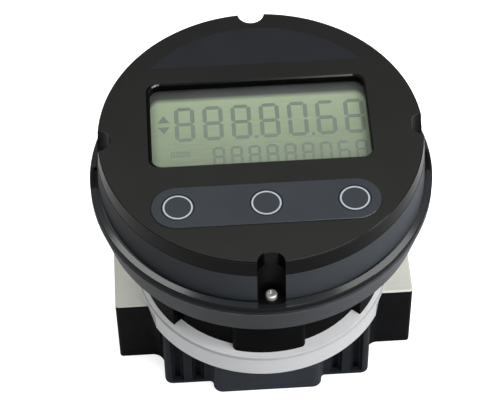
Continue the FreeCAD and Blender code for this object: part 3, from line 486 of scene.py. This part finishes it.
def printed_plate():
    finish = Finish("printed_front_plate", Specular_IOR_Level=0.07, Coat_Roughness=0.12)
    top = high("front_plate").z
    # Painted shade: a black band round the window, shifted to the left so that it is widest there.
    sideways = abs(finish.x + SHADE_SHIFT) - (WINDOW_HALF + SHADE_SIDE - WINDOW_CORNER)
    half_width = (WINDOW_BACK - WINDOW_FRONT) / 2.0
    endways = abs(finish.y - (WINDOW_FRONT + half_width)) - (half_width + SHADE_FRONT - WINDOW_CORNER)
    window_shade = ((sideways | 0.0) ** 2 + (endways | 0.0) ** 2) ** 0.5 < WINDOW_CORNER
    in_corner = window_shade * (sideways > 0.0) * (endways > 0.0)
    level = finish.z > top - FACE_DEPTH
    on_face = level * (1 - window_shade)
    on_rim = (finish.z > top - RIM_DEPTH) - level
    slow = finish.noise(18.0, 3.0)
    grain = finish.noise(0.35, 2.0)
    # Painted light: the print turns paler towards the front.
    lit_forward = (0 - finish.y).clamped(-FACE_REACH, FACE_REACH)
    tone = slow * 0.3 + grain * 0.3 + lit_forward * 0.4
    # Painted light in part: the face print is paler than the black moulded edge of the same plate.
    printed = finish.mix(tone.clamped(0.2, 0.8), LIT_FACE_PRINT, LIT_FACE_PRINT_PALE)
    moulded = finish.mix(slow, EDGE_BLACK, EDGE_PALE)
    return finish.set(Base_Color=finish.mix(on_face, moulded, printed),
                      Coat_Weight=on_rim * (in_corner * 0.6 + 0.35),
                      Roughness=on_face * 0.26 + slow * 0.08 + 0.20,
                      Normal=finish.bump(grain * on_face * 0.006 + slow * 0.01))


dress(printed_plate(), "front_plate")

# %% [markdown]
# Label and keypad. Both are printed films with a fine sandy texture, a little bluer than the plate. The keys are
# parts of the same film, and a pale ring is printed on each. The ring is a mask on the distance from the key's
# middle, so each key has a finish of its own that knows where that middle is.

# %% Label, keypad and keys
LABEL_DARK, LABEL_PALE = colour(24, 25, 30), colour(29, 30, 35)
PAD_DARK, PAD_PALE = colour(37, 41, 47), colour(43, 47, 52)
RING_PRINT = colour(160, 170, 178)
RING_RADIUS, RING_HALF_WIDTH, RING_SOFT = 4.74, 0.27, 0.08
CAP_PRINT_DEPTH = 0.3


def key_film(name, node):
    """Keypad film with the printed ring of one key."""
    finish = Finish(name, Specular_IOR_Level=0.2)
    middle = (low(node) + high(node)) / 2.0
    off_ring = abs(finish.from_axis(middle.x, middle.y) - RING_RADIUS)
    ink = 1 - off_ring.clamped(RING_HALF_WIDTH - RING_SOFT, RING_HALF_WIDTH + RING_SOFT)
    on_cap = finish.z > high(node).z - CAP_PRINT_DEPTH
    grain = finish.noise(0.4, 3.0)
    film = finish.mix(grain.clamped(0.3, 0.7), PAD_DARK, PAD_PALE)
    wear_and_reflection = ink * on_cap * (finish.noise(0.8, 3.0) * 0.5 + 0.68)
    return finish.set(Base_Color=finish.mix(wear_and_reflection, film, RING_PRINT), Roughness=grain * 0.1 + 0.42,
                      Normal=finish.bump(grain * 0.01 + ink * on_cap * 0.02))


def pad_film():
    """Keypad film with a polished rim."""
    finish = grained("keypad_film", PAD_DARK, PAD_PALE, 0.44, 0.4, 0.006, 0.2)
    finish.shader.inputs["Coat Roughness"].default_value = 0.12
    return finish.set(Coat_Weight=(finish.z < high("keypad").z - FACE_DEPTH) * 0.9)


dress(grained("label_film", LABEL_DARK, LABEL_PALE, 0.45, 0.35, 0.004, 0.12), "face_label")
dress(pad_film(), "keypad")
for side in ("left", "middle", "right"):
    dress(key_film("key_film_" + side, "key_" + side), "key_" + side)

# %% [markdown]
# Display. The glass is a reflective liquid-crystal panel: a pale olive reflector behind a polariser, with a fine
# fibrous streak. Such a panel throws light back mostly one way, so the dark wall behind the window shows in it as
# a grey band. The band follows the wall, round corners and all, a few millimetres further in. The pane above the
# panel is clear, so it is mostly transparent, with a faint haze.

# %% Display glass and pane
LCD_PALE, LCD_DARK = colour(131, 146, 116), colour(96, 108, 84)
LCD_SHADE = colour(30, 32, 29)
SHADE_DEPTH, SHADE_SOFT = 3.5, 1.1
PANE_HAZE = 0.03


def reflector():
    finish = Finish("lcd_reflector", Specular_IOR_Level=0.35)
    streak = finish.noise(1.0, 4.0, finish.scaled(finish.place, (0.15, 2.5, 1.0)))
    sparkle = finish.noise(0.12, 1.0)
    # Painted shade: the panel turns darker towards the front of the window.
    rise = (finish.y - WINDOW_FRONT) * (1 / (WINDOW_BACK - WINDOW_FRONT))
    tone = rise * 0.4 + finish.noise(30.0) * 0.2 + streak * 0.3 + sparkle * 0.1
    past_corner = (abs(finish.x) - (WINDOW_HALF - WINDOW_CORNER)) | 0.0
    wall = (WINDOW_CORNER ** 2 - (past_corner & WINDOW_CORNER) ** 2) ** 0.5 + (WINDOW_BACK - WINDOW_CORNER)
    band = (finish.y - wall + streak * 0.3).clamped(-SHADE_DEPTH - SHADE_SOFT, -SHADE_DEPTH + SHADE_SOFT)
    panel = finish.mix(tone.clamped(0.3, 0.7), LCD_DARK, LCD_PALE)
    return finish.set(Base_Color=finish.mix(band, panel, LCD_SHADE),
                      Roughness=streak * 0.15 + 0.35, Normal=finish.bump(sparkle * 0.002))


def clear_pane():
    finish = Finish("clear_pane", Specular_IOR_Level=0.5)
    haze = finish.noise(22.0, 4.0)
    return finish.set(Base_Color=finish.mix(haze, colour(200, 206, 205), colour(225, 230, 228)),
                      Roughness=haze * 0.06 + 0.04, Alpha=haze * PANE_HAZE + PANE_HAZE * 0.6)


dress(reflector(), "lcd_panel")
dress(clear_pane(), "window_lens")

# %% [markdown]
# The figures. Each digit of such a display is seven bars. They are thin films on the glass, so they are modelled
# as flat prisms a few hundredths of a millimetre thick. A bar runs between two joints of the digit and has
# pointed ends, with a small gap at each joint, and every digit is a choice of bars.

# %% Bars of a digit
BARS = {"0": "abcdef", "6": "acdefg", "8": "abcdefg"}
FILM_RISE, FILM_THICKNESS = 0.01, 0.05


def bar(start, end, stroke, gap):
    """Corners of a bar with pointed ends."""
    along = (end - start).normalized()
    across = Vector((-along.y, along.x)) * (stroke / 2)
    first, last = start + along * gap, end - along * gap
    shoulder = along * (stroke / 2)
    return [first, first + shoulder - across, last - shoulder - across, last, last - shoulder + across,
            first + shoulder + across]


def digit(text, left, bottom, width, height, stroke, gap):
    """Outlines of the bars that make one digit."""
    x_low, x_high = left + stroke / 2, left + width - stroke / 2
    y_low, y_high = bottom + stroke / 2, bottom + height - stroke / 2
    y_middle = (y_low + y_high) / 2
    joints = {"a": ((x_low, y_high), (x_high, y_high)), "b": ((x_high, y_middle), (x_high, y_high)),
              "c": ((x_high, y_low), (x_high, y_middle)), "d": ((x_low, y_low), (x_high, y_low)),
              "e": ((x_low, y_low), (x_low, y_middle)), "f": ((x_low, y_middle), (x_low, y_high)),
              "g": ((x_low, y_middle), (x_high, y_middle))}
    return [bar(Vector(joints[name][0]), Vector(joints[name][1]), stroke, gap) for name in BARS[text]]


def film(name, outlines, finish):
    """One piece from flat outlines on the display glass, in millimetres."""
    base = high("lcd_panel").z + FILM_RISE
    shape = bmesh.new()
    for outline in outlines:
        lower = [shape.verts.new((p.x * MM, p.y * MM, base * MM)) for p in outline]
        upper = [shape.verts.new((p.x * MM, p.y * MM, (base + FILM_THICKNESS) * MM)) for p in outline]
        shape.faces.new(list(reversed(lower)))
        shape.faces.new(upper)
        count = len(outline)
        for k in range(count):
            after = (k + 1) % count
            shape.faces.new((lower[k], lower[after], upper[after], upper[k]))
    bmesh.ops.recalc_face_normals(shape, faces=shape.faces)
    mesh = bpy.data.meshes.new(name)
    shape.to_mesh(mesh)
    shape.free()
    mesh.materials.append(finish.material)
    piece = bpy.data.objects.new(name, mesh)
    bpy.context.scene.collection.objects.link(piece)
    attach(piece, "casing")
    print(name, "outlines:", len(outlines))
    return piece


# %% [markdown]
# The display has a row of seven large digits with two points, a row of nine small ones, two arrows and a small
# counter. The rows start from a first digit and a pitch, so a digit's place is never written down by itself.

# %% Rows of figures
INK_DARK, INK_PALE = colour(84, 96, 84), colour(96, 108, 94)
LARGE = {"width": 7.0, "height": 15.5, "stroke": 1.45, "gap": 0.16}
SMALL = {"width": 4.25, "height": 8.5, "stroke": 0.95, "gap": 0.1}
TINY = {"width": 1.35, "height": 2.2, "stroke": 0.32, "gap": 0.03}
LARGE_FIRST, LARGE_PITCH, LARGE_BOTTOM = -29.3, 9.85, 1.45
SMALL_FIRST, SMALL_PITCH, SMALL_BOTTOM = -16.7, 6.14, -10.25
TINY_FIRST, TINY_PITCH, TINY_BOTTOM = -31.1, 1.72, -5.3
POINT_SIZE, POINT_AFTER = 1.1, (3, 5)
ARROW_X, ARROW_HALF, ARROW_HEIGHT, ARROW_UP, ARROW_DOWN = -33.1, 2.05, 3.2, 10.4, 8.4


def row(text, first, pitch, bottom, style):
    outlines = []
    for place, figure in enumerate(text):
        outlines += digit(figure, first + place * pitch, bottom, **style)
    return outlines


def points():
    """Square decimal points between the large digits."""
    squares = []
    for place in POINT_AFTER:
        gap_middle = LARGE_FIRST + place * LARGE_PITCH - (LARGE_PITCH - LARGE["width"]) / 2
        left, bottom = gap_middle - POINT_SIZE / 2, LARGE_BOTTOM
        ends = [(0, 0), (POINT_SIZE, 0), (POINT_SIZE, POINT_SIZE), (0, POINT_SIZE)]
        squares.append([Vector((left + x, bottom + y)) for x, y in ends])
    return squares


def arrows():
    """Two triangles, one up and one down."""
    left, right = ARROW_X - ARROW_HALF, ARROW_X + ARROW_HALF
    return [[Vector((left, base)), Vector((right, base)), Vector((ARROW_X, base + rise))]
            for base, rise in ((ARROW_UP, ARROW_HEIGHT), (ARROW_DOWN, -ARROW_HEIGHT))]


def figure_ink():
    finish = Finish("display_ink", Specular_IOR_Level=0.2)
    tone = finish.noise(5.0, 3.0)
    return finish.set(Base_Color=finish.mix(tone, INK_DARK, INK_PALE), Roughness=tone * 0.2 + 0.4)


ink = figure_ink()
film("large_digits", row("8888068", LARGE_FIRST, LARGE_PITCH, LARGE_BOTTOM, LARGE) + points(), ink)
film("small_digits", row("888888068", SMALL_FIRST, SMALL_PITCH, SMALL_BOTTOM, SMALL), ink)
film("display_marks", row("0000", TINY_FIRST, TINY_PITCH, TINY_BOTTOM, TINY) + arrows(), ink)

# %% [markdown]
# Threads. A pipe thread is a ridge that winds round the bore. Its section is a narrow trapezium between the root
# on the bore's wall and the crest. A loop carries that section along a helix, and it sinks into the wall over the
# first and last half turn, as a cut thread runs out.

# %% Threads in the ports
THREAD_ROOT, THREAD_CREST = 10.46, 9.33
THREAD_PITCH, CREST_FLAT, ROOT_FLAT = 1.814, 0.30, 0.24
THREAD_OUTER, THREAD_INNER = 53.8, 39.6
THREAD_STEPS = 72


def thread(name, side):
    """Helical ridge in the port towards -X or +X."""
    height = (low("meter_body").z + high("meter_body").z) / 2.0
    turns = (THREAD_OUTER - THREAD_INNER - THREAD_PITCH) / THREAD_PITCH
    count = int(turns * THREAD_STEPS)
    half_root, half_crest = (THREAD_PITCH - ROOT_FLAT) / 2, CREST_FLAT / 2
    shape = bmesh.new()
    rings = []
    for step in range(count + 1):
        angle = TURN * step / THREAD_STEPS
        middle = THREAD_OUTER - THREAD_PITCH / 2 - THREAD_PITCH * step / THREAD_STEPS
        ends = min(step, count - step) / (THREAD_STEPS / 2)
        crest = THREAD_ROOT + (THREAD_CREST - THREAD_ROOT) * min(1.0, ends)
        section = [(THREAD_ROOT, half_root), (crest, half_crest),
                   (crest, -half_crest), (THREAD_ROOT, -half_root)]
        rings.append([shape.verts.new((side * (middle + along) * MM, r * math.cos(angle) * MM,
                                       (height + r * math.sin(angle)) * MM)) for r, along in section])
    for first, second in zip(rings, rings[1:]):
        for k in range(4):
            after = (k + 1) % 4
            shape.faces.new((first[k], first[after], second[after], second[k]))
    shape.faces.new(rings[0])
    shape.faces.new(rings[-1])
    bmesh.ops.recalc_face_normals(shape, faces=shape.faces)
    mesh = bpy.data.meshes.new(name)
    shape.to_mesh(mesh)
    shape.free()
    piece = bpy.data.objects.new(name, mesh)
    bpy.context.scene.collection.objects.link(piece)
    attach(piece, "casing")
    print(name, "turns:", round(turns, 1))
    return piece


bore_metal = turned_metal("bare_thread_metal", MACHINED, MACHINED_DARK, 0.3, 0.4)
for thread_name, thread_side in (("inlet_thread", -1), ("outlet_thread", 1)):
    thread(thread_name, thread_side).data.materials.append(bore_metal.material)

# %% [markdown]
# Fasteners and rotating parts. Screws are bright zinc, the body bolts are blackened, shafts are ground steel and
# the gears are sintered. They share the lathe finish, or a speckled one for what is pressed from powder.


# %% Metals inside and outside
def speckled_metal(name, pale, dark, roughness, size, metallic=1.0):
    """Pressed, plated or blackened metal with a fine speckle."""
    finish = Finish(name, Metallic=metallic)
    speck = finish.cells(size)
    slow = finish.noise(size * 14.0, 3.0)
    tone = speck * 0.5 + slow * 0.5
    return finish.set(Base_Color=finish.mix(tone.clamped(0.2, 0.8), dark, pale),
                      Roughness=speck * 0.12 + slow * 0.1 + roughness, Normal=finish.bump(speck * 0.006))


STEEL, STEEL_DARK = colour(205, 206, 204), colour(165, 167, 168)
dress(speckled_metal("bright_zinc", colour(250, 250, 246), colour(222, 223, 221), 0.3, 0.4, 0.7),
      "cover_screws", "neck_screws", "head_screws", "board_screws", "display_screws")
dress(speckled_metal("black_oxide", colour(52, 53, 56), colour(30, 31, 33), 0.34, 0.3), "body_bolts")
dress(speckled_metal("sintered_steel", colour(150, 150, 148), colour(112, 112, 112), 0.38, 0.25),
      "front_gear", "rear_gear")
dress(turned_metal("ground_shaft_steel", STEEL, STEEL_DARK, 0.12, 0.15, (0.0, -GEAR_AXIS_Y)), "front_shaft")
dress(turned_metal("ground_rear_steel", STEEL, STEEL_DARK, 0.12, 0.15, (0.0, GEAR_AXIS_Y)), "rear_shaft")
dress(turned_metal("probe_stainless", colour(200, 202, 202), STEEL_DARK, 0.2, 0.2),
      "pickup_tube", "pickup_collar")
dress(speckled_metal("bush_bronze", colour(190, 140, 82), colour(140, 98, 58), 0.3, 0.3),
      "front_bush", "rear_bush")
dress(speckled_metal("magnet_nickel", colour(190, 188, 180), colour(150, 148, 142), 0.16, 0.5), "gear_magnets")
dress(speckled_metal("pin_brass", colour(214, 180, 96), colour(176, 142, 70), 0.22, 0.4), "pickup_pins")

# %% [markdown]
# Seals, washers and moulded inner parts use the grained finish again, each with its own tone and grain.

# %% Rubber and plastic inside
RUBBER, RUBBER_PALE = colour(20, 20, 21), colour(32, 32, 33)
dress(grained("seal_rubber", RUBBER, RUBBER_PALE, 0.55, 0.3, 0.01, 0.25),
      "chamber_seal", "neck_seal", "head_seal", "lens_gasket")
dress(grained("washer_carbon", colour(38, 38, 40), colour(56, 56, 58), 0.4, 0.2, 0.004), "thrust_washers")
dress(grained("tray_plastic", colour(24, 25, 26), colour(34, 35, 36), 0.4, 0.5, 0.006), "lcd_tray",
      "battery_cradle", "board_link", "key_switches")
dress(grained("chip_epoxy", colour(22, 23, 25), colour(34, 35, 38), 0.5, 0.2, 0.004), "board_chips")

# %% [markdown]
# Circuit boards and what feeds them. A solder mask lies over copper tracks, which show as slightly raised, paler
# lines. A grid of waves, broken up by a noise, gives tracks that run along two directions.

# %% Boards, contact strips and battery
MASK_GREEN, TRACK_GREEN = colour(18, 74, 44), colour(34, 104, 62)
TRACK_PITCH, TRACK_REGION = 2.54, 9.0
LAYER_PITCH = 0.5
CELL_END = 1.6


def board_green():
    finish = Finish("solder_mask_green", Specular_IOR_Level=0.5)
    region = finish.cells(TRACK_REGION) > 0.35
    along = finish.waves(finish.x, TRACK_PITCH)
    across = finish.waves(finish.y, TRACK_PITCH)
    track = (along * region + across * (1 - region)).clamped(0.5, 0.75)
    return finish.set(Base_Color=finish.mix(track, MASK_GREEN, TRACK_GREEN),
                      Roughness=finish.noise(3.0) * 0.1 + 0.25, Normal=finish.bump(track * 0.04))


def zebra_strip():
    """Silicone with thin carbon layers across its length."""
    finish = Finish("zebra_strip", Specular_IOR_Level=0.3)
    layer = finish.waves(finish.x, LAYER_PITCH).clamped(-0.2, 0.2)
    return finish.set(Base_Color=finish.mix(layer, colour(190, 170, 165), colour(40, 38, 38)),
                      Roughness=layer * 0.1 + 0.5)


def cell_wrap():
    """Shrink sleeve on the cell, with bare ends."""
    finish = Finish("cell_sleeve", Specular_IOR_Level=0.5)
    end = abs(finish.x) > high("battery").x - CELL_END
    crease = finish.noise(2.0, 4.0, finish.scaled(finish.place, (0.4, 1.5, 1.5)))
    sleeve = finish.mix(crease, colour(38, 96, 84), colour(50, 116, 100))
    return finish.set(Base_Color=finish.mix(end, sleeve, STEEL), Metallic=end * 0.9,
                      Roughness=crease * 0.12 + 0.22, Normal=finish.bump(crease * 0.02))


dress(board_green(), "main_board", "display_board")
dress(zebra_strip(), "lcd_contacts")
dress(cell_wrap(), "battery")
